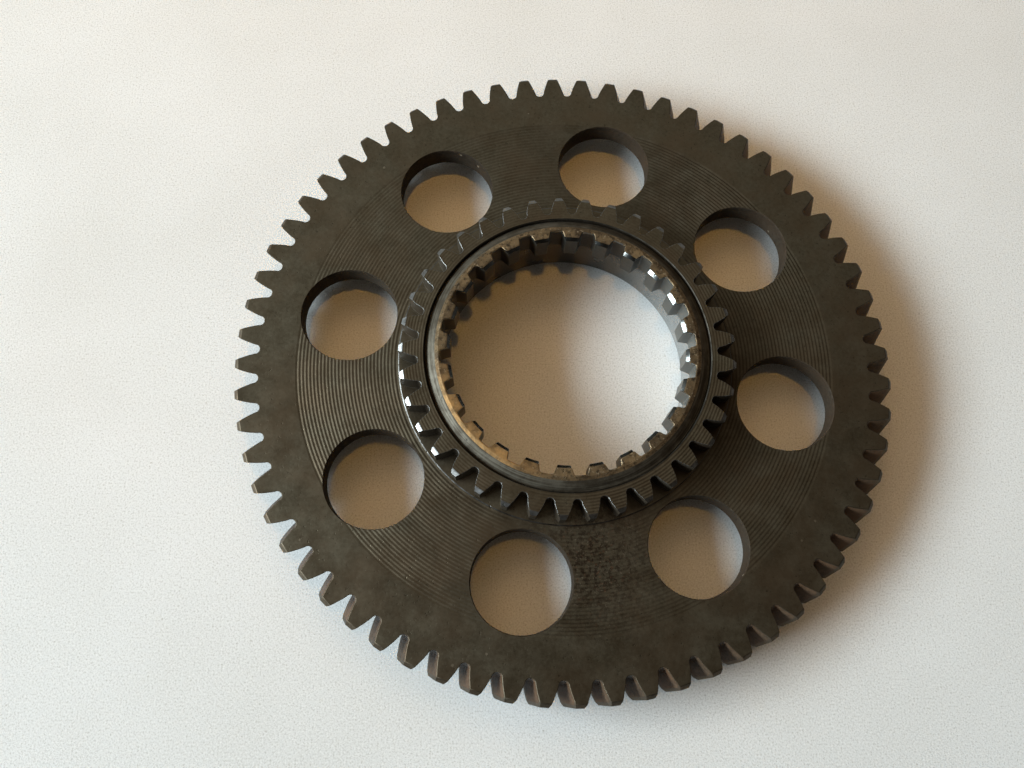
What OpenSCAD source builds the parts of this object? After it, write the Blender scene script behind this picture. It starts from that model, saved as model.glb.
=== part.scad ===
// Cluster gear: a helical wheel and a small hub pinion on one splined sleeve.
// Three pieces, seated face to face on cylinders about the Z axis.
// Origin at the bottom centre of the sleeve, Z up, lengths in millimetres.

/* [Helical wheel] */

// Number of teeth on the large wheel
wheel_teeth = 64; // [40:1:90]
// Tip diameter of the large wheel
wheel_tip_d = 198; // [120:1:300]
// Radial depth of the wheel teeth
wheel_tooth_depth = 7.2; // [4:0.1:10]
// Helix angle at the pitch circle, right hand
helix_angle = 20; // [0:0.5:30]
// Width of the toothed rim along the axis
rim_width = 9.5; // [6:0.5:20]
// Height of the wheel's top face above the base
wheel_top_z = 15; // [10:0.5:30]
// Thickness of the web between rim and seat
web_thickness = 7.3; // [4:0.1:15]
// Radius where the rim ends and the thinner web begins, on the underside
rim_inner_r = 83.5; // [70:0.5:88]
// Radius of the low boss under the pinion
boss_r = 50.3; // [49:0.1:54]
// Height of the low boss above the wheel's top face
boss_h = 0.5; // [0.2:0.1:2]
// Chamfer on the tooth tips at both faces of the wheel
wheel_tip_chamfer = 1.1; // [0:0.1:2]
// Turn of the first tooth about the axis, on the top face
wheel_phase = 1.54; // [0:0.01:5]

/* [Web holes] */

// Number of lightening holes in the web
hole_count = 8; // [4:1:12]
// Diameter of each hole
hole_d = 29; // [10:0.5:34]
// Radius of the circle the hole centres lie on
hole_circle_r = 67; // [60:0.5:70]
// Turn of the first hole about the axis
hole_phase = 33.4; // [0:0.1:45]
// Chamfer on the upper edge of each hole
hole_chamfer = 0.6; // [0:0.1:2]

/* [Hub pinion] */

// Number of teeth on the small gear
pinion_teeth = 37; // [24:1:50]
// Module of the small gear
pinion_module = 2.5; // [1.5:0.25:4]
// Profile shift, as a fraction of the module
pinion_shift = 0.3; // [0:0.05:0.5]
// Height of the pinion's top face above the wheel's top face
pinion_rise = 8.5; // [5:0.5:20]
// Chamfer on the tooth tips at the top face
pinion_tip_chamfer = 0.9; // [0:0.1:2]
// Turn of the first pinion tooth about the axis
pinion_phase = 4.7; // [0:0.1:9.7]

/* [Splined sleeve] */

// Radius of the seat that carries the wheel and the pinion
seat_r = 42; // [40:0.25:43]
// Radius of the shoulder below the wheel
shoulder_r = 47; // [44:0.5:60]
// Chamfer on both edges of the foot the gear stands on
foot_chamfer = 1; // [0.2:0.1:2]
// Radius of the smooth bore below the spline
bore_r = 38; // [37.5:0.25:39]
// Height the sleeve stands above the pinion's top face
sleeve_rise = 1.2; // [0:0.1:4]
// Radial width of the polished chamfer round the sleeve's top
lead_w = 2.7; // [1:0.1:4]
// Height of the polished chamfer round the sleeve's top
lead_h = 2.4; // [1:0.1:4]
// Number of spline teeth
spline_teeth = 24; // [12:1:40]
// Radius at the bottom of the spline slots
spline_root_r = 37.5; // [36:0.25:38]
// Radius at the crest of the spline teeth
spline_tip_r = 34.5; // [33:0.25:36]
// Axial length of the spline
spline_length = 9.5; // [5:0.5:20]
// Half angle of a spline tooth at its root, in degrees
spline_half_root = 4.5; // [3:0.1:6]
// Half angle of a spline tooth at its crest, in degrees
spline_half_tip = 3.1; // [2:0.1:5]
// Lead-in chamfer on the crests at the top face
spline_chamfer = 1.2; // [0:0.1:2]
// Turn of the first spline tooth about the axis
spline_phase = 12; // [0:0.5:15]

/* [Output] */

// Which sub-part to output

/* [Hidden] */

pressure_angle = 20;
// How far a cutting shape runs past the face it cuts
over = 1;
eps = 0.05;
// Trimming discs stand this much clear of the tooth tips
trim_gap = 0.02;

wheel_tip_r = wheel_tip_d / 2;
wheel_root_r = wheel_tip_r - wheel_tooth_depth;
wheel_pitch_r = wheel_tip_r * wheel_teeth / (wheel_teeth + 2);
wheel_base_r = wheel_pitch_r * cos(pressure_angle);
wheel_twist = rim_width * tan(helix_angle) / wheel_pitch_r * 180 / PI;
// Half angle of a wheel tooth at the base circle, in degrees
wheel_base_half = 90 / wheel_teeth + inv(wheel_pitch_r, wheel_base_r);
rim_bottom_z = wheel_top_z - rim_width;
web_bottom_z = wheel_top_z - web_thickness;
pinion_bottom_z = wheel_top_z + boss_h;
pinion_top_z = wheel_top_z + pinion_rise;
pinion_pitch_r = pinion_module * pinion_teeth / 2;
pinion_base_r = pinion_pitch_r * cos(pressure_angle);
pinion_tip_r = pinion_pitch_r + pinion_module * (1 + pinion_shift);
pinion_root_r = pinion_pitch_r - pinion_module * (1.25 - pinion_shift);
// Half angle of a pinion tooth at the base circle, in degrees
pinion_base_half = 90 / pinion_teeth + inv(pinion_pitch_r, pinion_base_r)
    + 2 * pinion_shift * tan(pressure_angle) / pinion_teeth * 180 / PI;
sleeve_top_z = pinion_top_z + sleeve_rise;
spline_bottom_z = sleeve_top_z - spline_length;
// Depth of the spline slot's cutting shape inside the crests
slot_inset = 1.5;

// Involute function, in degrees, at radius r on base radius rb
function inv(r, rb) = r <= rb ? 0 : tan(acos(rb / r)) * 180 / PI - acos(rb / r);

// Half thickness of a tooth, in degrees, at radius r
function half(r, rb, base) = base - inv(r, rb);

function on(r, a) = [r * cos(a), r * sin(a)];

// Outline of a gear: root, two flank points and tip on each side of every tooth.
// The root fillet rises fillet_h and spreads the tooth's foot by fillet_a degrees.
function outline(z, root, tip, rb, base, fillet_h, fillet_a) = [
    for (i = [0 : z - 1])
        let (
            c = i * 360 / z,
            low = root + fillet_h,
            middle = (root + tip) / 2
        )
            each [
                on(root, c - half(root, rb, base) - fillet_a),
                on(low, c - half(low, rb, base)),
                on(middle, c - half(middle, rb, base)),
                on(tip, c - half(tip, rb, base)),
                on(tip, c + half(tip, rb, base)),
                on(middle, c + half(middle, rb, base)),
                on(low, c + half(low, rb, base)),
                on(root, c + half(root, rb, base) + fillet_a)
            ]
];

// Disc with chamfered rims, used to trim tooth tips
module trim_disc(r, z0, z1, c0, c1) {
    rotate_extrude($fn = 128)
        polygon([
            [0, z0], [r - c0, z0], [r, z0 + c0],
            [r, z1 - c1], [r - c1, z1], [0, z1]
        ]);
}

module wheel_blank() {
    intersection() {
        translate([0, 0, rim_bottom_z])
            rotate([0, 0, wheel_phase - wheel_twist])
                linear_extrude(height = rim_width, twist = -wheel_twist, slices = 3, convexity = 8)
                    polygon(outline(
                        wheel_teeth, wheel_root_r, wheel_tip_r, wheel_base_r,
                        wheel_base_half, fillet_h = 1.6, fillet_a = 0.25
                    ));
        trim_disc(
            wheel_tip_r + trim_gap, rim_bottom_z, wheel_top_z,
            wheel_tip_chamfer, wheel_tip_chamfer
        );
    }
}

module web_hole() {
    translate([0, 0, rim_bottom_z - over])
        cylinder(h = rim_width + 2 * over, r = hole_d / 2, $fn = 64);
    translate([0, 0, wheel_top_z - hole_chamfer])
        cylinder(
            h = hole_chamfer + eps, r1 = hole_d / 2,
            r2 = hole_d / 2 + hole_chamfer + eps, $fn = 64
        );
}

module helical_wheel() {
    color([0.30, 0.27, 0.23])
        difference() {
            union() {
                difference() {
                    wheel_blank();
                    translate([0, 0, rim_bottom_z - over])
                        cylinder(h = rim_width - web_thickness + over, r = rim_inner_r, $fn = 128);
                }
                translate([0, 0, wheel_top_z - over])
                    cylinder(h = over, r = boss_r, $fn = 128);
                translate([0, 0, wheel_top_z])
                    cylinder(h = boss_h, r1 = boss_r, r2 = boss_r - boss_h, $fn = 128);
            }
            for (i = [0 : hole_count - 1])
                rotate([0, 0, hole_phase + i * 360 / hole_count])
                    translate([hole_circle_r, 0, 0])
                        web_hole();
            translate([0, 0, rim_bottom_z - over])
                cylinder(h = rim_width + boss_h + 2 * over, r = seat_r, $fn = 128);
        }
}

module hub_pinion() {
    color([0.36, 0.33, 0.29])
        difference() {
            intersection() {
                translate([0, 0, pinion_bottom_z])
                    rotate([0, 0, pinion_phase])
                        linear_extrude(height = pinion_top_z - pinion_bottom_z, convexity = 8)
                            polygon(outline(
                                pinion_teeth, pinion_root_r, pinion_tip_r, pinion_base_r,
                                pinion_base_half, fillet_h = 1.2, fillet_a = 0.35
                            ));
                trim_disc(
                    pinion_tip_r + trim_gap, pinion_bottom_z, pinion_top_z,
                    eps, pinion_tip_chamfer
                );
            }
            translate([0, 0, pinion_bottom_z - over])
                cylinder(h = pinion_rise + 2 * over, r = seat_r, $fn = 128);
        }
}

// One slot of the spline, widening from the root circle towards the axis
module spline_slot() {
    slot_root = 180 / spline_teeth - spline_half_root;
    slot_tip = 180 / spline_teeth - spline_half_tip;
    translate([0, 0, spline_bottom_z - over])
        linear_extrude(height = spline_length + 2 * over)
            polygon([
                on(spline_tip_r - slot_inset, -slot_tip),
                on(spline_tip_r, -slot_tip),
                on(spline_root_r, -slot_root),
                on(spline_root_r + eps, 0),
                on(spline_root_r, slot_root),
                on(spline_tip_r, slot_tip),
                on(spline_tip_r - slot_inset, slot_tip)
            ]);
}

module splined_sleeve() {
    color([0.46, 0.38, 0.29])
        difference() {
            union() {
                cylinder(h = sleeve_top_z - lead_h, r = seat_r, $fn = 128);
                translate([0, 0, sleeve_top_z - lead_h])
                    cylinder(h = lead_h, r1 = seat_r, r2 = seat_r - lead_w, $fn = 128);
                translate([0, 0, foot_chamfer])
                    cylinder(h = web_bottom_z - foot_chamfer, r = shoulder_r, $fn = 128);
                cylinder(
                    h = foot_chamfer, r1 = shoulder_r - foot_chamfer,
                    r2 = shoulder_r, $fn = 128
                );
            }
            translate([0, 0, -over])
                cylinder(h = spline_bottom_z + over, r = bore_r, $fn = 128);
            translate([0, 0, -eps])
                cylinder(
                    h = foot_chamfer + eps, r1 = bore_r + foot_chamfer + eps,
                    r2 = bore_r, $fn = 128
                );
            translate([0, 0, spline_bottom_z - over])
                cylinder(h = spline_length + 2 * over, r = spline_tip_r, $fn = 128);
            translate([0, 0, sleeve_top_z - spline_chamfer])
                cylinder(
                    h = spline_chamfer + eps, r1 = spline_tip_r,
                    r2 = spline_tip_r + spline_chamfer + eps, $fn = 128
                );
            for (i = [0 : spline_teeth - 1])
                rotate([0, 0, spline_phase + (i + 0.5) * 360 / spline_teeth])
                    spline_slot();
        }
}

helical_wheel();
hub_pinion();
splined_sleeve();
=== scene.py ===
import math

import bmesh
import bpy
import numpy as np
from mathutils import Matrix, Vector


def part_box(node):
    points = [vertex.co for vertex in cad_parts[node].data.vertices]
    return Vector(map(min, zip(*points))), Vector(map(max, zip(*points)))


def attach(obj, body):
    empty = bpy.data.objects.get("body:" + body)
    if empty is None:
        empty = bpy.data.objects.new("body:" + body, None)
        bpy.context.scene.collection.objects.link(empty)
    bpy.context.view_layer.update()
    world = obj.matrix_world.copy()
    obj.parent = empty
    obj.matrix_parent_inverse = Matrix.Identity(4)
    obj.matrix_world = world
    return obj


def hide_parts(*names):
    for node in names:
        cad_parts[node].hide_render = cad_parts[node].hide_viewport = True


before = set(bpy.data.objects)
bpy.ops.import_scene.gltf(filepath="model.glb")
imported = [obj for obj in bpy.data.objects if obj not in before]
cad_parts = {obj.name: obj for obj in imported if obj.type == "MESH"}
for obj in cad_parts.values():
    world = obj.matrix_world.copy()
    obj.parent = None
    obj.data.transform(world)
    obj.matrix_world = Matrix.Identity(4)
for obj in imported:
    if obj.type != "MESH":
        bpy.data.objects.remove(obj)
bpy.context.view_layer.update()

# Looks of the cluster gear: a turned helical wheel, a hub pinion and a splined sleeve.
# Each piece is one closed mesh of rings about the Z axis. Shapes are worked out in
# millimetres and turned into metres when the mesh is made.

MM = 0.001


def box_mm(node):
    """Lowest and highest corners of a CAD node, in millimetres."""
    low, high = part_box(node)
    return low / MM, high / MM


# ---------------------------------------------------------------- sizes

wheel_low, wheel_high = box_mm("helical_wheel")
pinion_low, pinion_high = box_mm("hub_pinion")
sleeve_low, sleeve_high = box_mm("splined_sleeve")

EDGE = 0.2                      # small break on the edges of the teeth and the spline
SEAT_R = 42.0                   # the cylinder on which the wheel and the pinion sit
WHEEL_SEAT_GAP = 0.05           # left round the sleeve, so that no two surfaces lie in one place
PINION_SEAT_GAP = 0.04
PRESSURE_ANGLE = math.radians(20)

# A gear's radii and tip chamfer in mm, its profile shift in modules, and one tooth's bearing in
# degrees
WHEEL = {
    "teeth": 64, "tip": 99.0, "root": 91.8, "pitch": 96.0, "shift": 0.0,
    "chamfer_w": 1.1, "chamfer_h": 1.1, "phase": 1.54,
}
HELIX = math.radians(20)
BOSS_H = 0.5
BOSS_R = 50.3
BOSS_FOOT = 0.05                # how far the boss's wall spreads down its height
BOSS_LIP_W = 0.3
BOSS_LIP_H = 0.13
RIM_BOTTOM = wheel_low.z
WHEEL_TOP = wheel_high.z - BOSS_H
WEB_THICKNESS = 7.3
WEB_BOTTOM = WHEEL_TOP - WEB_THICKNESS
FACE_MARGIN = 1.3               # from the wheel's tooth roots to its level rings
RECESS_R = 83.5                 # where the thin web meets the rim, on the underside
RECESS_CORNER_W = 1.5           # the sloped corner between the web and the recess's wall
RECESS_CORNER = 0.45
RECESS_CHAMFER_W = 0.4
RECESS_CHAMFER_H = 0.6
GROOVES = 29
GROOVE_PITCH = 1.05
GROOVE_DEPTH = 0.085
# (bearing in degrees, share of that depth). The shares were fitted, so that the grooves stand out
# at each bearing as much as the photo's do. They aren't measured depths.
GROOVE_SHARES = (
    (10, 0.75), (55, 2.0), (100, 1.3), (145, 0.7), (190, 1.1), (235, 0.95), (285, 0.25),
)
# Across one groove: (share of the pitch from its outer edge, share of the depth)
GROOVE_PROFILE = ((0.0, 0.0), (0.52, 1.0), (0.58, 1.0))
GROOVE_OUTER_R = 80.9

HOLES = 8
HOLE_R = 14.5
HOLE_CIRCLE_R = 67.0
HOLE_PHASE = 33.4
HOLE_CHAMFER_W = 0.2
HOLE_CHAMFER_H = 0.4
HOLE_LOW_CHAMFER = 0.4
HOLE_POINTS = 96

PINION = {
    "teeth": 37, "tip": 49.5, "root": 43.875, "pitch": 46.25, "shift": 0.3,
    "chamfer_w": 1.2, "chamfer_h": 0.7, "phase": 4.7,
}
PINION_GROOVES = 7
PINION_GROOVE_R = 42.62         # the innermost groove
PINION_GROOVE_PITCH = 0.883
PINION_GROOVE_DEPTH = 0.05
PINION_LIP_W = 0.25             # the chamfer at the bore
PINION_LIP_H = 0.2

SPLINE_TEETH = 24
SPLINE_ROOT_R = 37.5
SPLINE_CREST_R = 34.5
SPLINE_LENGTH = 9.5
SPLINE_BOTTOM = sleeve_high.z - SPLINE_LENGTH
SPLINE_LEAD_W = 1.1
SPLINE_LEAD_H = 0.92
SPLINE_PHASE = 12.0             # the bearing of one tooth
# (degrees from the middle of a slot, radius), from the slot to the nearest tooth
SPLINE_FLANK = (
    (0.0, SPLINE_ROOT_R), (1.6, SPLINE_ROOT_R), (2.6, SPLINE_ROOT_R - 0.06),
    (3.05, SPLINE_ROOT_R - 0.35), (3.45, 36.4), (3.9, 35.5),
    (4.28, SPLINE_CREST_R + 0.22), (4.55, SPLINE_CREST_R),
)
SPLINE_POINTS = 2 * len(SPLINE_FLANK)       # round one spline pitch
BORE_R = 38.0
SHOULDER_R = 47.0
FOOT_CHAMFER = 1.0
# The sleeve's rounded end: (radius where a band ends, its slope in degrees), from the inside out
CROWN = (
    (38.9, 18), (39.1, 24), (39.95, 30), (40.2, 36),
    (41.2, 43), (41.35, 38), (41.72, 31), (42.0, 58),
)
CROWN_INNER_R = 37.9            # the level tops of the spline teeth lie inside it
RUSTY_BANDS = 2                 # the first bands are rusty, and the others bare steel


# ---------------------------------------------------------------- rings and meshes

# Material slots of the two gears: turned faces, tooth edges and chamfers, tooth flanks, inside
# walls, lips. The sleeve has its own, below.
FACE, BEVEL, FLANK, INNER, LIP = 0, 1, 2, 3, 4


def circle(radius, z, count, phase=0.0):
    """One ring of points round the axis. Phase is in degrees."""
    turn = math.radians(phase) + np.arange(count) * 2 * math.pi / count
    return np.column_stack([radius * np.cos(turn), radius * np.sin(turn), np.full(count, z)])


def involute(radius, base):
    """The angle in radians between an involute's start on the base circle and a radius on it."""
    angle = np.arccos(np.clip(base / np.maximum(radius, base), 0, 1))
    return np.tan(angle) - angle


def moved_along_normal(flat, distance):
    """A closed outline in the plane, moved outwards by distance."""
    tangent = np.roll(flat, -1, axis=0) - np.roll(flat, 1, axis=0)
    tangent /= np.linalg.norm(tangent, axis=1)[:, None]
    return flat + distance * np.column_stack([tangent[:, 1], -tangent[:, 0]])


FILLET_STEPS = 5
FILLET_ROUNDS = 30              # repeats in which the root fillet's radius settles
FLANK_STEPS = 6
POINTS_PER_TOOTH = 2 * (FILLET_STEPS + FLANK_STEPS + 1)


def gear_ring(gear, z, tip, inset=0.0, turned=0.0):
    """One ring of an involute gear's outline, from gap middle to gap middle."""
    teeth, root = gear["teeth"], gear["root"]
    base = gear["pitch"] * math.cos(PRESSURE_ANGLE)
    half_pitch = math.pi / teeth
    at_base = (
        half_pitch / 2 + involute(gear["pitch"], base)
        + 2 * gear["shift"] * math.tan(PRESSURE_ANGLE) / teeth
    )

    def half_tooth(radius):
        return at_base - involute(radius, base)

    fillet = 1.0
    for _ in range(FILLET_ROUNDS):
        fillet = (half_pitch - half_tooth(root + fillet)) * (root + fillet)
    sweep = np.linspace(-math.pi / 2, 0, FILLET_STEPS + 1)
    fillet_r = root + fillet * (1 + np.sin(sweep))
    fillet_a = half_pitch - fillet * np.cos(sweep) / fillet_r
    flank_r = np.linspace(root + fillet, tip, FLANK_STEPS + 1)[1:]
    radius = np.concatenate([fillet_r, flank_r])
    angle = np.concatenate([fillet_a, half_tooth(flank_r)])
    tooth_r = np.concatenate([radius, [tip], radius[:0:-1]])
    tooth_a = np.concatenate([-angle, [0.0], angle[:0:-1]])
    centres = math.radians(gear["phase"] + turned) + np.arange(teeth) * 2 * half_pitch
    turn = (centres[:, None] + tooth_a).ravel()
    reach = np.tile(tooth_r, teeth)
    flat = np.column_stack([reach * np.cos(turn), reach * np.sin(turn)])
    if inset:
        flat = moved_along_normal(flat, -inset)
    return np.column_stack([flat, np.full(len(flat), z)])


def solid_of_rings(rings):
    """Points and faces of a closed solid. Each ring is (points, material), and the material
    is that of the strip to the next ring. The last ring joins the first."""
    starts = np.cumsum([0] + [len(points) for points, _ in rings])
    faces, materials = [], []
    for i, (points, material) in enumerate(rings):
        j = (i + 1) % len(rings)
        n, m = len(points), len(rings[j][0])
        a, b = int(starts[i]), int(starts[j])
        few = min(n, m)
        for k in range(few):
            step_a, step_b = n // few, m // few
            side_a = [a + (k * step_a + s) % n for s in range(step_a + 1)]
            side_b = [b + (k * step_b + s) % m for s in range(step_b + 1)]
            faces.append(side_a + side_b[::-1])
            materials.append(material)
    return np.concatenate([points for points, _ in rings]), faces, materials


def new_mesh(name, points, faces, face_materials, materials=()):
    """A new object from points in mm, its faces and the material slot of each face."""
    mesh = bpy.data.meshes.new(name)
    mesh.from_pydata((points * MM).tolist(), [], faces)
    for material in materials:
        mesh.materials.append(material)
    mesh.polygons.foreach_set("material_index", face_materials)
    mesh.validate()
    piece = bpy.data.objects.new(name, mesh)
    bpy.context.scene.collection.objects.link(piece)
    return piece


def face_outwards(piece):
    """Flips the mesh if its signed volume is negative."""
    mesh = piece.data
    mesh.calc_loop_triangles()
    corners = np.empty(len(mesh.vertices) * 3)
    mesh.vertices.foreach_get("co", corners)
    corners = corners.reshape(-1, 3)
    index = np.empty(len(mesh.loop_triangles) * 3, dtype=np.int32)
    mesh.loop_triangles.foreach_get("vertices", index)
    a, b, c = (corners[index.reshape(-1, 3)[:, k]] for k in range(3))
    if np.einsum("ij,ij->i", a, np.cross(b, c)).sum() < 0:
        mesh.flip_normals()


CORNER = math.radians(26)
GROOVE_CORNER = math.radians(3)


def shade(piece):
    """Smooth shading with sharp corners. On turned faces the shallow groove edges are sharp too."""
    mesh = piece.data
    mesh.shade_smooth()
    mesh.set_sharp_from_angle(angle=CORNER)
    built = bmesh.new()
    built.from_mesh(mesh)
    built.normal_update()
    for edge in built.edges:
        turned = any(face.material_index == FACE for face in edge.link_faces)
        if turned and edge.calc_face_angle(0) > GROOVE_CORNER:
            edge.smooth = False
    built.to_mesh(mesh)
    built.free()


# ---------------------------------------------------------------- helical wheel

# A rounded edge in three steps: (drop below the face, inset from the side), as shares of EDGE
ROUND_EDGE = ((1.0, 0.0), (0.5, 0.134), (0.134, 0.5), (0.0, 1.0))


def toothed_levels(gear, bottom, top, slices, twist=0.0):
    """Rings up the side of a gear, with chamfered tips and rounded edges at both faces."""
    tip, width, height = gear["tip"], gear["chamfer_w"], gear["chamfer_h"]

    def limit(depth):
        return tip - width * max(0, 1 - depth / height)

    levels = []
    for drop, inset in ROUND_EDGE[::-1]:
        levels.append((bottom + drop * EDGE, limit(drop * EDGE), inset * EDGE, BEVEL))
    for z in np.linspace(bottom + height, top - height, slices + 1):
        levels.append((z, tip, 0, FLANK))
    for drop, inset in ROUND_EDGE:
        levels.append((top - drop * EDGE, limit(drop * EDGE), inset * EDGE, BEVEL))
    levels[-1] = (*levels[-1][:3], FACE)
    rings = []
    for z, reach, inset, material in levels:
        turned = -twist * (top - z) / (top - bottom)
        rings.append((gear_ring(gear, z, reach, inset, turned), material))
    return rings


def mark_tip_chamfers(piece, gear):
    """Gives the chamfered tooth tips, which are neither upright nor level, their own material."""
    inside = (gear["tip"] - gear["chamfer_w"] - EDGE) * MM
    upright, level = 0.3, 0.97
    for face in piece.data.polygons:
        if face.center.xy.length > inside and upright < abs(face.normal.z) < level:
            face.material_index = BEVEL


def groove_rings(count, phase):
    """Turned grooves from the outside in: one side, a narrow floor and a slightly steeper side."""
    bearings, shares = zip(*GROOVE_SHARES)
    rings = []
    for i in range(GROOVES):
        ridge = GROOVE_OUTER_R - i * GROOVE_PITCH
        for share, drop in GROOVE_PROFILE:
            radius = ridge - share * GROOVE_PITCH
            points = circle(radius, WHEEL_TOP, count, phase)
            bearing = np.degrees(np.arctan2(points[:, 1], points[:, 0]))
            depth = GROOVE_DEPTH * np.interp(bearing, bearings, shares, period=360)
            points[:, 2] -= drop * depth
            rings.append((points, FACE))
    return rings


def hole_cutter():
    """Eight flared pins, which cut the web holes and chamfer both ends of each."""
    count = HOLE_POINTS
    low, high = WEB_BOTTOM, WHEEL_TOP
    past = 1.0                  # how far the pins stand out of the web
    flare = HOLE_CHAMFER_W / HOLE_CHAMFER_H
    profile = [
        (HOLE_R + HOLE_LOW_CHAMFER + past, low - past), (HOLE_R, low + HOLE_LOW_CHAMFER),
        (HOLE_R, high - HOLE_CHAMFER_H), (HOLE_R + HOLE_CHAMFER_W + flare * past, high + past),
    ]
    points, faces = [], []
    for i in range(HOLES):
        turn = math.radians(HOLE_PHASE + i * 360 / HOLES)
        centre = np.array([HOLE_CIRCLE_R * math.cos(turn), HOLE_CIRCLE_R * math.sin(turn), 0])
        start = len(points) * count
        for level, (radius, z) in enumerate(profile):
            points.append(circle(radius, z, count) + centre)
            if level:
                a = start + (level - 1) * count
                for k in range(count):
                    n = (k + 1) % count
                    faces.append([a + k, a + n, a + count + n, a + count + k])
        faces.append(list(range(start + count - 1, start - 1, -1)))
        last = start + (len(profile) - 1) * count
        faces.append(list(range(last, last + count)))
    return new_mesh("hole_cutter", np.concatenate(points), faces, [INNER] * len(faces))


JOIN_WITHIN = 0.001             # points nearer than this are one point


def cut(piece, cutter):
    """Cuts cutter out of piece and removes it."""
    modifier = piece.modifiers.new("cut", "BOOLEAN")
    modifier.operation = "DIFFERENCE"
    modifier.solver = "MANIFOLD"
    modifier.object = cutter
    evaluated = piece.evaluated_get(bpy.context.evaluated_depsgraph_get())
    mesh = bpy.data.meshes.new_from_object(evaluated)
    # Points that the cut left in one place are joined, so that no face is left folded
    built = bmesh.new()
    built.from_mesh(mesh)
    bmesh.ops.remove_doubles(built, verts=built.verts, dist=JOIN_WITHIN * MM)
    built.to_mesh(mesh)
    built.free()
    piece.modifiers.clear()
    piece.data = mesh
    bpy.data.objects.remove(cutter)


POINTS_PER_WHEEL_TOOTH = 6      # on the wheel's plain rings
WHEEL_SLICES = 5                # up the wheel's flanks, where they twist


def helical_wheel(materials):
    """The toothed rim with its grooved web, its boss and the recess underneath."""
    count = WHEEL["teeth"] * POINTS_PER_WHEEL_TOOTH
    phase = WHEEL["phase"]
    thickness = WHEEL_TOP - RIM_BOTTOM
    twist = math.degrees(thickness * math.tan(HELIX) / WHEEL["pitch"])
    rings = toothed_levels(WHEEL, RIM_BOTTOM, WHEEL_TOP, WHEEL_SLICES, twist)

    def ring(radius, z, material, turned):
        rings.append((circle(radius, z, count, phase + turned), material))

    inside_teeth = WHEEL["root"] - FACE_MARGIN
    seat = SEAT_R + WHEEL_SEAT_GAP
    top_turn = -180 / WHEEL["teeth"]
    for radius, z, material in (
        (inside_teeth, WHEEL_TOP, FACE),
        (GROOVE_OUTER_R + GROOVE_PITCH, WHEEL_TOP, FACE),
    ):
        ring(radius, z, material, top_turn)
    rings.extend(groove_rings(count, phase + top_turn))
    for radius, z, material in (
        (BOSS_R + BOSS_FOOT, WHEEL_TOP, FACE),
        (BOSS_R, WHEEL_TOP + BOSS_H - BOSS_LIP_H, LIP),
        (BOSS_R - BOSS_LIP_W, WHEEL_TOP + BOSS_H, FACE),
        (seat, WHEEL_TOP + BOSS_H, INNER),
    ):
        ring(radius, z, material, top_turn)
    for radius, z, material in (
        (seat, WEB_BOTTOM, FACE),
        (RECESS_R - RECESS_CORNER_W, WEB_BOTTOM, FACE),
        (RECESS_R - RECESS_CORNER, WEB_BOTTOM - RECESS_CORNER, FACE),
        (RECESS_R, RIM_BOTTOM + RECESS_CHAMFER_H, BEVEL),
        (RECESS_R + RECESS_CHAMFER_W, RIM_BOTTOM, FACE),
        (inside_teeth, RIM_BOTTOM, FACE),
    ):
        ring(radius, z, material, top_turn - twist)
    piece = new_mesh("turned_wheel", *solid_of_rings(rings), materials)
    face_outwards(piece)
    cutter = hole_cutter()
    face_outwards(cutter)
    cut(piece, cutter)
    mark_tip_chamfers(piece, WHEEL)
    shade(piece)
    return piece


# ---------------------------------------------------------------- hub pinion

def zigzag_cutter(top):
    """A ring whose underside is a row of V ridges. It cuts the turned lines into the top face."""
    count = 360
    above = 0.004               # the ridges start just off the face, and not in its plane
    clear = 1.0
    rings = []
    for i in range(PINION_GROOVES):
        middle = PINION_GROOVE_R + i * PINION_GROOVE_PITCH
        rings.append((circle(middle - PINION_GROOVE_PITCH / 2, top + above, count), FACE))
        rings.append((circle(middle, top - PINION_GROOVE_DEPTH, count), FACE))
    outside = middle + PINION_GROOVE_PITCH / 2
    inside = PINION_GROOVE_R - PINION_GROOVE_PITCH / 2
    rings.append((circle(outside, top + above, count), FACE))
    rings.append((circle(outside, top + clear, count), FACE))
    rings.append((circle(inside, top + clear, count), FACE))
    return new_mesh("zigzag_cutter", *solid_of_rings(rings))


def hub_pinion(materials):
    """The small gear, a toothed ring with turned lines on its end face."""
    bottom, top = pinion_low.z, pinion_high.z
    count = PINION["teeth"] * POINTS_PER_TOOTH
    turned = -180 / PINION["teeth"]
    rings = toothed_levels(PINION, bottom, top, slices=1)
    bore = SEAT_R + PINION_SEAT_GAP
    for radius, z, material in (
        (bore + PINION_LIP_W, top, LIP), (bore, top - PINION_LIP_H, INNER), (bore, bottom, INNER),
    ):
        rings.append((circle(radius, z, count, PINION["phase"] + turned), material))
    piece = new_mesh("toothed_hub", *solid_of_rings(rings), materials)
    face_outwards(piece)
    cutter = zigzag_cutter(top)
    face_outwards(cutter)
    cut(piece, cutter)
    mark_tip_chamfers(piece, PINION)
    shade(piece)
    return piece


# ---------------------------------------------------------------- splined sleeve

# The sleeve's material slots
(
    SLEEVE_TOP_FACE, SLEEVE_LEAD, SLEEVE_SPLINE, SLEEVE_BORE, SLEEVE_OUTER, SLEEVE_CREST_LEAD,
) = range(6)


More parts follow.
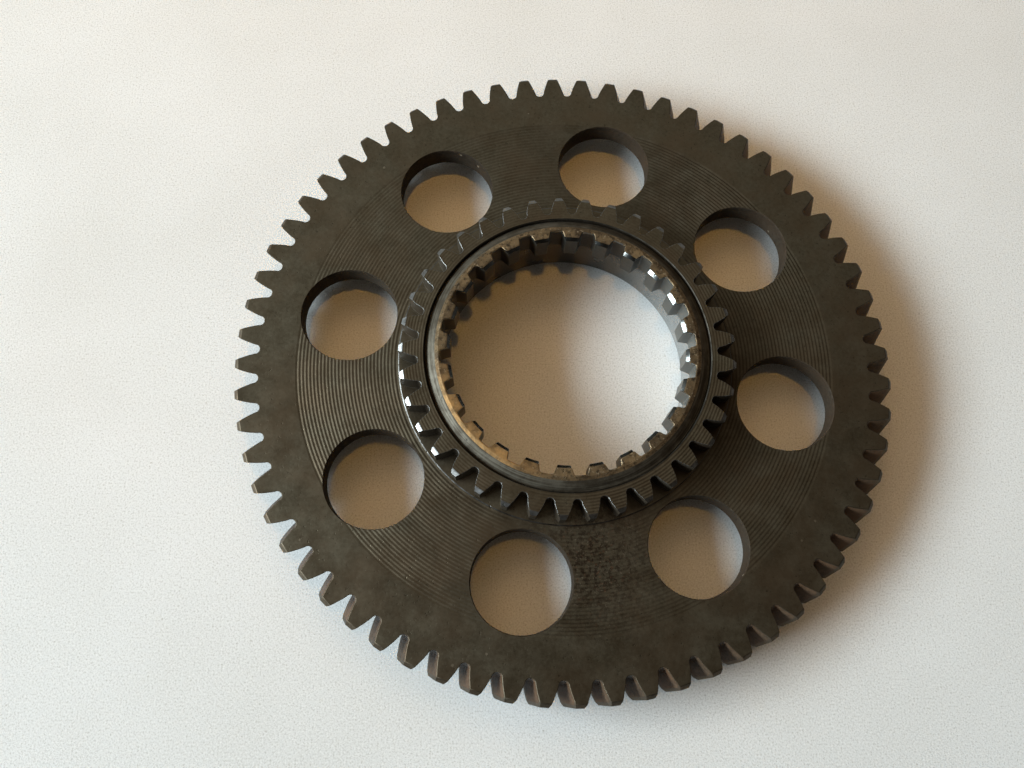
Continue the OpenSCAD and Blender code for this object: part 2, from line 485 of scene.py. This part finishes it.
def spline_ring(z, crest_limit, inset=0.0):
    """One ring of the internal spline, from the middle of a slot. No point is nearer to the axis
    than crest_limit."""
    half = list(SPLINE_FLANK)
    pitch = 360 / SPLINE_TEETH
    tooth = half + [(pitch / 2, SPLINE_CREST_R)] + [(pitch - a, r) for a, r in half[:0:-1]]
    angle = np.array([a for a, _ in tooth])
    radius = np.maximum([r for _, r in tooth], crest_limit)
    slot = SPLINE_PHASE - pitch / 2 + np.arange(SPLINE_TEETH) * pitch
    turn = np.radians(slot[:, None] + angle).ravel()
    reach = np.tile(radius, SPLINE_TEETH)
    flat = np.column_stack([reach * np.cos(turn), reach * np.sin(turn)])
    if inset:
        flat = moved_along_normal(flat, inset)
    return np.column_stack([flat, np.full(len(flat), z)])


def splined_sleeve(materials):
    """The sleeve: its foot and shoulder, its rounded end, the spline and the plain bore."""
    count = SPLINE_TEETH * SPLINE_POINTS
    phase = SPLINE_PHASE - 180 / SPLINE_TEETH
    top, foot = sleeve_high.z, sleeve_low.z
    rings = []

    def ring(radius, z, material):
        rings.append((circle(radius, z, count, phase), material))

    ring(BORE_R + FOOT_CHAMFER, foot, SLEEVE_OUTER)
    ring(SHOULDER_R - FOOT_CHAMFER, foot, SLEEVE_OUTER)
    ring(SHOULDER_R, foot + FOOT_CHAMFER, SLEEVE_OUTER)
    ring(SHOULDER_R, WEB_BOTTOM, SLEEVE_OUTER)
    ring(SEAT_R, WEB_BOTTOM, SLEEVE_OUTER)
    bands = []
    radius, z = CROWN_INNER_R, top
    for i, (end, slope) in enumerate(CROWN):
        bands.append((radius, z, SLEEVE_TOP_FACE if i < RUSTY_BANDS else SLEEVE_LEAD))
        z -= (end - radius) * math.tan(math.radians(slope))
        radius = end
    bands.append((radius, z, SLEEVE_LEAD))
    for band in bands[::-1]:
        ring(*band)
    crest_top = SPLINE_CREST_R + SPLINE_LEAD_W
    edge_drop, edge_inset = ROUND_EDGE[2]
    for z, limit, inset, material in (
        (top, crest_top, EDGE, SLEEVE_TOP_FACE),
        (top - edge_drop * EDGE, crest_top, edge_inset * EDGE, SLEEVE_TOP_FACE),
        (top - EDGE / 2, crest_top - EDGE, 0, SLEEVE_CREST_LEAD),
        (top - SPLINE_LEAD_H, SPLINE_CREST_R, 0, SLEEVE_SPLINE),
        (SPLINE_BOTTOM + EDGE, SPLINE_CREST_R, 0, SLEEVE_SPLINE),
        (SPLINE_BOTTOM, SPLINE_CREST_R, EDGE, SLEEVE_SPLINE),
    ):
        rings.append((spline_ring(z, limit, inset), material))
    ring(BORE_R, SPLINE_BOTTOM, SLEEVE_BORE)
    ring(BORE_R, foot + FOOT_CHAMFER, SLEEVE_BORE)
    piece = new_mesh("sleeve", *solid_of_rings(rings), materials)
    face_outwards(piece)
    shade(piece)
    return piece


# ---------------------------------------------------------------- materials

# The colour sockets of a Mix node that mixes colours
MIX_A, MIX_B, MIX_RESULT = 6, 7, 2
CRUMB_WANDER = 0.10             # how far noise moves a crumb's edge, as a part of its cell
CRUMB_WANDER_SCALE = 9
ALONG_LINES = 0.02              # how slowly streaks change along the turned lines


class Graph:
    """Builds one material's nodes. The methods from math to bump each return an output socket."""

    def __init__(self, name):
        self.material = bpy.data.materials.new(name)
        self.material.use_nodes = True
        self.tree = self.material.node_tree
        self.shader = self.tree.nodes["Principled BSDF"]
        self.position = self.node("ShaderNodeTexCoord").outputs["Object"]

    def node(self, kind, **settings):
        made = self.tree.nodes.new(kind)
        for key, value in settings.items():
            setattr(made, key, value)
        return made

    def feed(self, socket, value):
        if isinstance(value, bpy.types.NodeSocket):
            self.tree.links.new(value, socket)
        else:
            socket.default_value = value

    def math(self, operation, a, b=0.0):
        made = self.node("ShaderNodeMath", operation=operation)
        self.feed(made.inputs[0], a)
        self.feed(made.inputs[1], b)
        return made.outputs[0]

    def noise(self, scale, detail=3.0, roughness=0.55, seed=0.0, position=None):
        made = self.node("ShaderNodeTexNoise", noise_dimensions="4D")
        self.feed(made.inputs["Vector"], position or self.position)
        made.inputs["W"].default_value = seed
        made.inputs["Scale"].default_value = scale
        made.inputs["Detail"].default_value = detail
        made.inputs["Roughness"].default_value = roughness
        return made.outputs["Fac"]

    def spread(self, value, low, high, to_low=0.0, to_high=1.0):
        made = self.node("ShaderNodeMapRange")
        self.feed(made.inputs["Value"], value)
        made.inputs["From Min"].default_value = low
        made.inputs["From Max"].default_value = high
        made.inputs["To Min"].default_value = to_low
        made.inputs["To Max"].default_value = to_high
        return made.outputs["Result"]

    def mix(self, factor, a, b):
        made = self.node("ShaderNodeMix", data_type="RGBA")
        self.feed(made.inputs["Factor"], factor)
        for socket, value in ((made.inputs[MIX_A], a), (made.inputs[MIX_B], b)):
            self.feed(socket, value if isinstance(value, bpy.types.NodeSocket) else (*value, 1))
        return made.outputs[MIX_RESULT]

    def crumbs(self, scale, size, share):
        """Sparse irregular specks: 1 inside a speck. Size is a part of the cell, and share the
        part of the cells that have a speck."""
        shift = self.node("ShaderNodeVectorMath", operation="MULTIPLY_ADD")
        wander = self.node("ShaderNodeTexNoise")
        self.feed(wander.inputs["Vector"], self.position)
        wander.inputs["Scale"].default_value = scale * CRUMB_WANDER_SCALE
        self.feed(shift.inputs[0], wander.outputs["Color"])
        shift.inputs[1].default_value = (CRUMB_WANDER / scale,) * 3
        self.feed(shift.inputs[2], self.position)
        cells = self.node("ShaderNodeTexVoronoi")
        self.feed(cells.inputs["Vector"], shift.outputs[0])
        cells.inputs["Scale"].default_value = scale
        near = self.math("LESS_THAN", cells.outputs["Distance"], size)
        chosen = self.math("LESS_THAN", cells.outputs["Color"], share)
        return self.math("MULTIPLY", near, chosen)

    def distance_from(self, x, y):
        """Distance in metres from the vertical line through x and y, which are in mm."""
        flat = self.node("ShaderNodeVectorMath", operation="MULTIPLY_ADD")
        self.feed(flat.inputs[0], self.position)
        flat.inputs[1].default_value = (1, 1, 0)
        flat.inputs[2].default_value = (-x * MM, -y * MM, 0)
        length = self.node("ShaderNodeVectorMath", operation="LENGTH")
        self.feed(length.inputs[0], flat.outputs[0])
        return length.outputs["Value"]

    def across_turned_lines(self):
        """A vector that changes across the turned lines, and only slowly along them."""
        split = self.node("ShaderNodeSeparateXYZ")
        self.feed(split.inputs[0], self.position)
        joined = self.node("ShaderNodeCombineXYZ")
        self.feed(joined.inputs["X"], self.distance_from(0, 0))
        self.feed(joined.inputs["Y"], self.math("MULTIPLY", split.outputs["X"], ALONG_LINES))
        self.feed(joined.inputs["Z"], self.math("MULTIPLY", split.outputs["Y"], ALONG_LINES))
        return joined.outputs[0]

    def bump(self, height, depth_mm, normal=None):
        made = self.node("ShaderNodeBump")
        made.inputs["Strength"].default_value = 1.0
        made.inputs["Distance"].default_value = depth_mm * MM
        self.feed(made.inputs["Height"], height)
        if normal is not None:
            self.feed(made.inputs["Normal"], normal)
        return made.outputs["Normal"]

    def finish(self, colour, roughness, normal, metallic):
        self.feed(self.shader.inputs["Base Color"], colour)
        self.feed(self.shader.inputs["Roughness"], roughness)
        self.feed(self.shader.inputs["Normal"], normal)
        self.shader.inputs["Metallic"].default_value = metallic
        return self.material


PALE_DUST = (0.42, 0.35, 0.26)
PIT_SHARE = 0.35                # of the dark tone
DARK_CHIP = (0.055, 0.036, 0.025)
FLECKS = ((1500, (0.38, 0.31, 0.23)), (1150, (0.24, 0.13, 0.08)))       # (noise scale, colour)
# colour of the painted shadow that the hub casts on the web
PAINTED_SHADOW_TONE = (0.042, 0.024, 0.012)
LIT_SIDE_FROM, LIT_SIDE_FULL = 17, 38           # mm along X, where the painted lit side sets in


def oily_steel(
    name, dark, light, stain, rough=(0.36, 0.52), metallic=0.93, seed=0.0, debris=None,
    painted_hub_shadow=None, painted_lit_side=None, specular=0.5,
):
    """Dark oiled steel with blotches, brown stains, pale dust specks and fine grain. Debris and the
    painted hub shadow are (x, y, reach) in mm of a patch of chips and of painted shade. The lit
    side is a lighter colour painted towards +X. Rough is the lowest and highest roughness.

    The shade patch and the lit side were fitted to the photo. The first is painted shadow where
    the hub shades the web, and the second is painted light on the side where the light falls.
    Left out, they leave the steel the same all round."""
    g = Graph(name)
    blotch = g.noise(34, 4, 0.6, seed)
    patch = g.noise(150, 4, 0.6, seed + 3)
    grain = g.noise(900, 3, 0.6, seed + 5)
    tone = g.math("ADD", g.math("MULTIPLY", blotch, 0.28), g.math("MULTIPLY", patch, 0.22))
    tone = g.math("ADD", tone, g.math("MULTIPLY", g.noise(1100, 3, 0.75, seed + 6), 0.5))
    colour = g.mix(g.spread(tone, 0.41, 0.59), dark, light)
    colour = g.mix(g.spread(g.noise(45, 5, 0.7, seed + 8), 0.42, 0.66, 0, 0.75), colour, stain)
    pits = g.spread(g.noise(1300, 2, 0.5, seed + 11), 0.36, 0.26)
    pit_colour = tuple(c * PIT_SHARE for c in dark)
    colour = g.mix(g.math("MULTIPLY", pits, 0.6), colour, pit_colour)
    dust = g.crumbs(330, 0.13, 0.16)
    colour = g.mix(g.math("MULTIPLY", dust, 0.5), colour, PALE_DUST)
    if debris:
        x, y, reach = debris
        near = g.spread(g.distance_from(x, y), reach * MM, 0.15 * reach * MM)
        chips = g.math("MULTIPLY", near, g.spread(g.noise(750, 4, 0.7, seed + 17), 0.48, 0.56))
        colour = g.mix(g.math("MULTIPLY", chips, 0.85), colour, DARK_CHIP)
        for scale, tint in FLECKS:
            fleck = g.spread(g.noise(scale, 3, 0.8, seed + scale), 0.58, 0.66)
            colour = g.mix(g.math("MULTIPLY", g.math("MULTIPLY", near, fleck), 0.8), colour, tint)
    # Painted shadow: a darker patch where the hub shades the web
    if painted_hub_shadow:
        x, y, reach = painted_hub_shadow
        near = g.spread(g.distance_from(x, y), reach * MM, 0.5 * reach * MM)
        share = g.math("MULTIPLY", near, g.spread(patch, 0.3, 0.6, 0.55, 0.95))
        colour = g.mix(share, colour, PAINTED_SHADOW_TONE)
    # Painted light: a lighter colour towards +X, on the side the window lights
    if painted_lit_side:
        split = g.node("ShaderNodeSeparateXYZ")
        g.feed(split.inputs[0], g.position)
        share = g.spread(split.outputs["X"], LIT_SIDE_FROM * MM, LIT_SIDE_FULL * MM)
        colour = g.mix(share, colour, painted_lit_side)
    roughness = g.spread(g.math("ADD", patch, g.math("MULTIPLY", grain, 0.4)), 0.5, 0.95, *rough)
    normal = g.bump(grain, 0.012)
    normal = g.bump(pits, -0.03, normal)
    g.shader.inputs["Specular IOR Level"].default_value = specular
    return g.finish(colour, roughness, normal, metallic)


NICK = (0.05, 0.042, 0.034)


def worn_steel(name, dark, light, rough, metallic=1.0, seed=0.0, streaks=0.0):
    """Bare steel of a worn or polished edge, with dark nicks and streaks round it. Rough is the
    lowest and highest roughness."""
    g = Graph(name)
    cloud = g.noise(260, 4, 0.65, seed)
    if streaks:
        line = g.noise(2600, 2, 0.5, seed + 7, g.across_turned_lines())
        cloud = g.math("ADD", cloud, g.math("MULTIPLY", g.math("SUBTRACT", line, 0.5), streaks))
    colour = g.mix(g.spread(cloud, 0.38, 0.66), dark, light)
    nicks = g.spread(g.noise(700, 3, 0.6, seed + 4), 0.62, 0.70)
    colour = g.mix(g.math("MULTIPLY", nicks, 0.8), colour, NICK)
    roughness = g.spread(g.noise(420, 3, 0.6, seed + 9), 0.35, 0.7, *rough)
    normal = g.bump(g.noise(1500, 2, 0.5, seed + 2), 0.006)
    return g.finish(colour, roughness, g.bump(nicks, -0.03, normal), metallic)


OXIDE_DARK, OXIDE_LIGHT = (0.13, 0.092, 0.056), (0.33, 0.23, 0.125)
OXIDE_PATCH = (0.065, 0.042, 0.026)
RUST_PIT = (0.03, 0.022, 0.016)
RUST_GRAIN = (0.52, 0.42, 0.29)
FRESH_RUST = (0.68, 0.385, 0.15)
FRESH_RUST_AT = (-28, -26)      # mm, where the sleeve's top face is freshly rusted
FRESH_RUST_REACH = 26           # mm


def rusty_face(name):
    """The sleeve's top face: orange rust in patches over brown oxide, with dark pits."""
    g = Graph(name)
    cloud = g.noise(110, 5, 0.65, 2)
    patch = g.noise(330, 4, 0.6, 9)
    fine = g.noise(900, 4, 0.7, 6)
    colour = g.mix(g.spread(cloud, 0.36, 0.64), OXIDE_DARK, OXIDE_LIGHT)
    colour = g.mix(g.spread(patch, 0.50, 0.64, 0, 0.75), colour, OXIDE_PATCH)
    colour = g.mix(g.spread(fine, 0.51, 0.62, 0, 0.8), colour, RUST_PIT)
    grains = g.spread(g.noise(1000, 3, 0.8, 15), 0.58, 0.66, 0, 0.7)
    colour = g.mix(grains, colour, RUST_GRAIN)
    reach = FRESH_RUST_REACH * MM
    fresh = g.spread(g.distance_from(*FRESH_RUST_AT), reach, 0.5 * reach)
    orange = g.math("MULTIPLY", fresh, g.spread(patch, 0.38, 0.60, 0.9, 0.3))
    colour = g.mix(orange, colour, FRESH_RUST)
    roughness = g.spread(fine, 0.3, 0.7, 0.30, 0.46)
    normal = g.bump(fine, 0.05)
    return g.finish(colour, roughness, g.bump(patch, 0.09, normal), 0.75)


PAPER_DARK, PAPER_LIGHT = (0.748, 0.745, 0.728), (0.808, 0.81, 0.803)
PAPER_DIP = (0.50, 0.485, 0.455)
PAPER_TIP = (0.93, 0.925, 0.91)
FLOOR_CRUMB = (0.12, 0.10, 0.08)
FLOOR_DUST = (0.30, 0.26, 0.21)


def floor_surface():
    """Pale gritty paper, with faint clouds, fine grain and a few dark crumbs."""
    g = Graph("pale_floor")
    cloud = g.noise(14, 5, 0.6)
    grain = g.noise(1900, 3, 0.7, 3)
    colour = g.mix(g.spread(cloud, 0.35, 0.65), PAPER_DARK, PAPER_LIGHT)
    colour = g.mix(g.spread(grain, 0.52, 0.70), colour, PAPER_DIP)
    colour = g.mix(g.spread(grain, 0.48, 0.30), colour, PAPER_TIP)
    crumbs = g.crumbs(48, 0.024, 0.22)
    colour = g.mix(g.math("MULTIPLY", crumbs, 0.75), colour, FLOOR_CRUMB)
    dust = g.crumbs(170, 0.05, 0.3)
    colour = g.mix(g.math("MULTIPLY", dust, 0.35), colour, FLOOR_DUST)
    return g.finish(colour, 0.85, g.bump(grain, 0.10), 0.0)


# ---------------------------------------------------------------- stage, light, camera

def floor():
    """A large level sheet under the sleeve's foot. Its corners are in metres."""
    half = 2.5
    mesh = bpy.data.meshes.new("floor")
    corners = [(-half, -half, 0), (half, -half, 0), (half, half, 0), (-half, half, 0)]
    mesh.from_pydata(corners, [], [(0, 1, 2, 3)])
    plane = bpy.data.objects.new("floor", mesh)
    plane.location.z = sleeve_low.z * MM
    bpy.context.scene.collection.objects.link(plane)
    mesh.materials.append(floor_surface())


def area_light(name, azimuth, elevation, distance, width, height, power, colour, aim=(0, 0, 0)):
    """A rectangle of light that faces aim, seen from the origin at these angles in degrees.
    Lengths and aim are in metres, and power is in watts."""
    data = bpy.data.lights.new(name, "AREA")
    data.shape = "RECTANGLE"
    data.size, data.size_y = width, height
    data.energy = power
    data.color = colour
    lamp = bpy.data.objects.new(name, data)
    a, e = math.radians(azimuth), math.radians(elevation)
    toward = Vector((math.cos(e) * math.cos(a), math.cos(e) * math.sin(a), math.sin(e)))
    lamp.location = toward * distance
    back = lamp.location - Vector(aim)
    lamp.rotation_euler = back.to_track_quat("Z", "Y").to_euler()
    bpy.context.scene.collection.objects.link(lamp)
    return lamp


# The room's radiance: a dim base, with a soft glow round each direction in GLOWS. Each glow is
# (direction, cosine at its rim, colour): a pale wall behind, the window's side of the room, the
# ceiling, and the low horizon all round.
ROOM = (0.020, 0.016, 0.012)
GLOWS = (
    ((-0.20, 0.66, 0.72), 0.60, (0.275, 0.305, 0.285)),
    ((-0.95, -0.10, 0.30), 0.55, (0.22, 0.25, 0.27)),
    ((0.0, 0.35, 0.94), 0.30, (0.080, 0.055, 0.030)),
    ((0.0, 0.0, -1.0), -0.42, (0.42, 0.40, 0.37)),
)


def world_light():
    """The room: the base and the glows, added up by direction."""
    world = bpy.data.worlds.new("room")
    world.use_nodes = True
    tree = world.node_tree
    direction = tree.nodes.new("ShaderNodeTexCoord").outputs["Generated"]
    colour = None
    for centre, rim, tint in GLOWS:
        cosine = tree.nodes.new("ShaderNodeVectorMath")
        cosine.operation = "DOT_PRODUCT"
        tree.links.new(direction, cosine.inputs[0])
        cosine.inputs[1].default_value = Vector(centre).normalized()
        share = tree.nodes.new("ShaderNodeMapRange")
        tree.links.new(cosine.outputs["Value"], share.inputs["Value"])
        share.inputs["From Min"].default_value = rim
        blend = tree.nodes.new("ShaderNodeMix")
        blend.data_type = "RGBA"
        blend.blend_type = "ADD"
        tree.links.new(share.outputs["Result"], blend.inputs["Factor"])
        if colour is None:
            blend.inputs[MIX_A].default_value = (*ROOM, 1)
        else:
            tree.links.new(colour, blend.inputs[MIX_A])
        blend.inputs[MIX_B].default_value = (*tint, 1)
        colour = blend.outputs[MIX_RESULT]
    tree.links.new(colour, tree.nodes["Background"].inputs["Color"])
    bpy.context.scene.world = world


CAMERA_AT = Vector((-22.48, -79.23, 254.62))        # mm
CAMERA_AIM = Vector((-16.17, -8.22, 15.0))
CAMERA_LENS = 29.47


def camera():
    """The camera. +Y points straight up in its picture."""
    data = bpy.data.cameras.new("camera")
    data.lens = CAMERA_LENS
    data.clip_start = 0.01
    made = bpy.data.objects.new("camera", data)
    back = (CAMERA_AT - CAMERA_AIM).normalized()
    right = Vector((0, 1, 0)).cross(back).normalized()
    turn = Matrix((right, back.cross(right), back)).transposed()
    made.matrix_world = Matrix.Translation(CAMERA_AT * MM) @ turn.to_4x4()
    bpy.context.scene.collection.objects.link(made)
    bpy.context.scene.camera = made


# ---------------------------------------------------------------- put together

wheel_face = oily_steel(
    "wheel_face_steel",
    dark=(0.124, 0.100, 0.068), light=(0.185, 0.155, 0.109), stain=(0.172, 0.122, 0.078),
    # the patch at (30, -8) mm is painted shadow of the hub on the web
    metallic=1.0, debris=(6, -60, 26), painted_hub_shadow=(30, -8, 40),
)
wheel_tip = oily_steel(
    "wheel_tip_steel",
    dark=(0.065, 0.052, 0.036), light=(0.125, 0.103, 0.074), stain=(0.10, 0.065, 0.04),
    rough=(0.45, 0.6), seed=10,
)
wheel_flank = oily_steel(
    "wheel_flank_steel",
    dark=(0.026, 0.018, 0.012), light=(0.10, 0.065, 0.040), stain=(0.13, 0.068, 0.036),
    metallic=0.1, seed=20, specular=0.08,
)
hole_wall = oily_steel(
    "hole_wall_steel",
    dark=(0.018, 0.014, 0.010), light=(0.055, 0.044, 0.033), stain=(0.05, 0.032, 0.02),
    rough=(0.5, 0.65), metallic=0.0, seed=25, specular=0.05,
)
boss_lip = worn_steel(
    "boss_lip_steel",
    dark=(0.07, 0.062, 0.054), light=(0.26, 0.25, 0.24), rough=(0.26, 0.40), seed=30,
)
pinion_face = oily_steel(
    "pinion_face_steel",
    dark=(0.120, 0.094, 0.062), light=(0.192, 0.156, 0.105), stain=(0.16, 0.11, 0.07),
    metallic=1.0, seed=40,
)
pinion_tip = worn_steel(
    "pinion_tip_steel",
    dark=(0.22, 0.215, 0.205), light=(0.42, 0.41, 0.40), rough=(0.26, 0.4), seed=45,
)
pinion_flank = oily_steel(
    "pinion_flank_steel",
    dark=(0.022, 0.018, 0.013), light=(0.06, 0.05, 0.038), stain=(0.06, 0.04, 0.025),
    rough=(0.35, 0.5), metallic=0.15, seed=50, specular=0.25,
)
sleeve_top = rusty_face("sleeve_top_rust")
pinion_rim = worn_steel(
    "pinion_rim_steel",
    dark=(0.03, 0.026, 0.02), light=(0.075, 0.066, 0.055), rough=(0.5, 0.65), seed=55,
)
sleeve_lead = worn_steel(
    "sleeve_lead_steel",
    dark=(0.058, 0.046, 0.031), light=(0.135, 0.118, 0.090), rough=(0.52, 0.66),
    metallic=0.7, streaks=1.2,
)
spline_steel = oily_steel(
    "spline_steel",
    dark=(0.018, 0.016, 0.013), light=(0.055, 0.051, 0.043), stain=(0.055, 0.036, 0.022),
    # its lighter +X side is painted light
    rough=(0.3, 0.45), metallic=0.2, seed=60, painted_lit_side=(0.12, 0.115, 0.10), specular=0.25,
)
spline_lead = worn_steel(
    "spline_lead_steel",
    dark=(0.12, 0.12, 0.11), light=(0.30, 0.31, 0.30), rough=(0.18, 0.3), seed=65,
)
bore_steel = oily_steel(
    "bore_steel",
    dark=(0.07, 0.058, 0.045), light=(0.13, 0.115, 0.095), stain=(0.08, 0.065, 0.05),
    # its lighter +X side is painted light
    rough=(0.2, 0.3), metallic=0.6, seed=70, painted_lit_side=(0.33, 0.325, 0.31),
)
outer_steel = oily_steel(
    "sleeve_outer_steel",
    dark=(0.09, 0.075, 0.055), light=(0.20, 0.175, 0.14), stain=(0.14, 0.095, 0.06), seed=80,
)

floor()
camera()
world_light()
area_light(
    "window", azimuth=186, elevation=27, distance=2.6, width=1.85, height=0.7, power=120,
    colour=(0.80, 0.935, 1.0),
)
ceiling = area_light(
    "ceiling", azimuth=90, elevation=88, distance=1.2, width=0.05, height=0.05, power=0.38,
    colour=(1.0, 0.50, 0.10), aim=(-0.12, 0.40, 0),
)
ceiling.data.spread = math.radians(60)
wall = area_light(
    "wall", azimuth=112, elevation=52, distance=1.6, width=1.0, height=0.7, power=3.2,
    colour=(1.0, 0.51, 0.11),
)
for lamp in (ceiling, wall):
    lamp.visible_glossy = False

wheel = helical_wheel([wheel_face, wheel_tip, wheel_flank, hole_wall, boss_lip])
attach(wheel, "root")
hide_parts("helical_wheel")

hub = hub_pinion([pinion_face, pinion_tip, pinion_flank, outer_steel, pinion_rim])
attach(hub, "root")
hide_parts("hub_pinion")

sleeve = splined_sleeve(
    [sleeve_top, sleeve_lead, spline_steel, bore_steel, outer_steel, spline_lead]
)
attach(sleeve, "root")
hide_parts("splined_sleeve")

bpy.context.scene.view_settings.view_transform = "Standard"
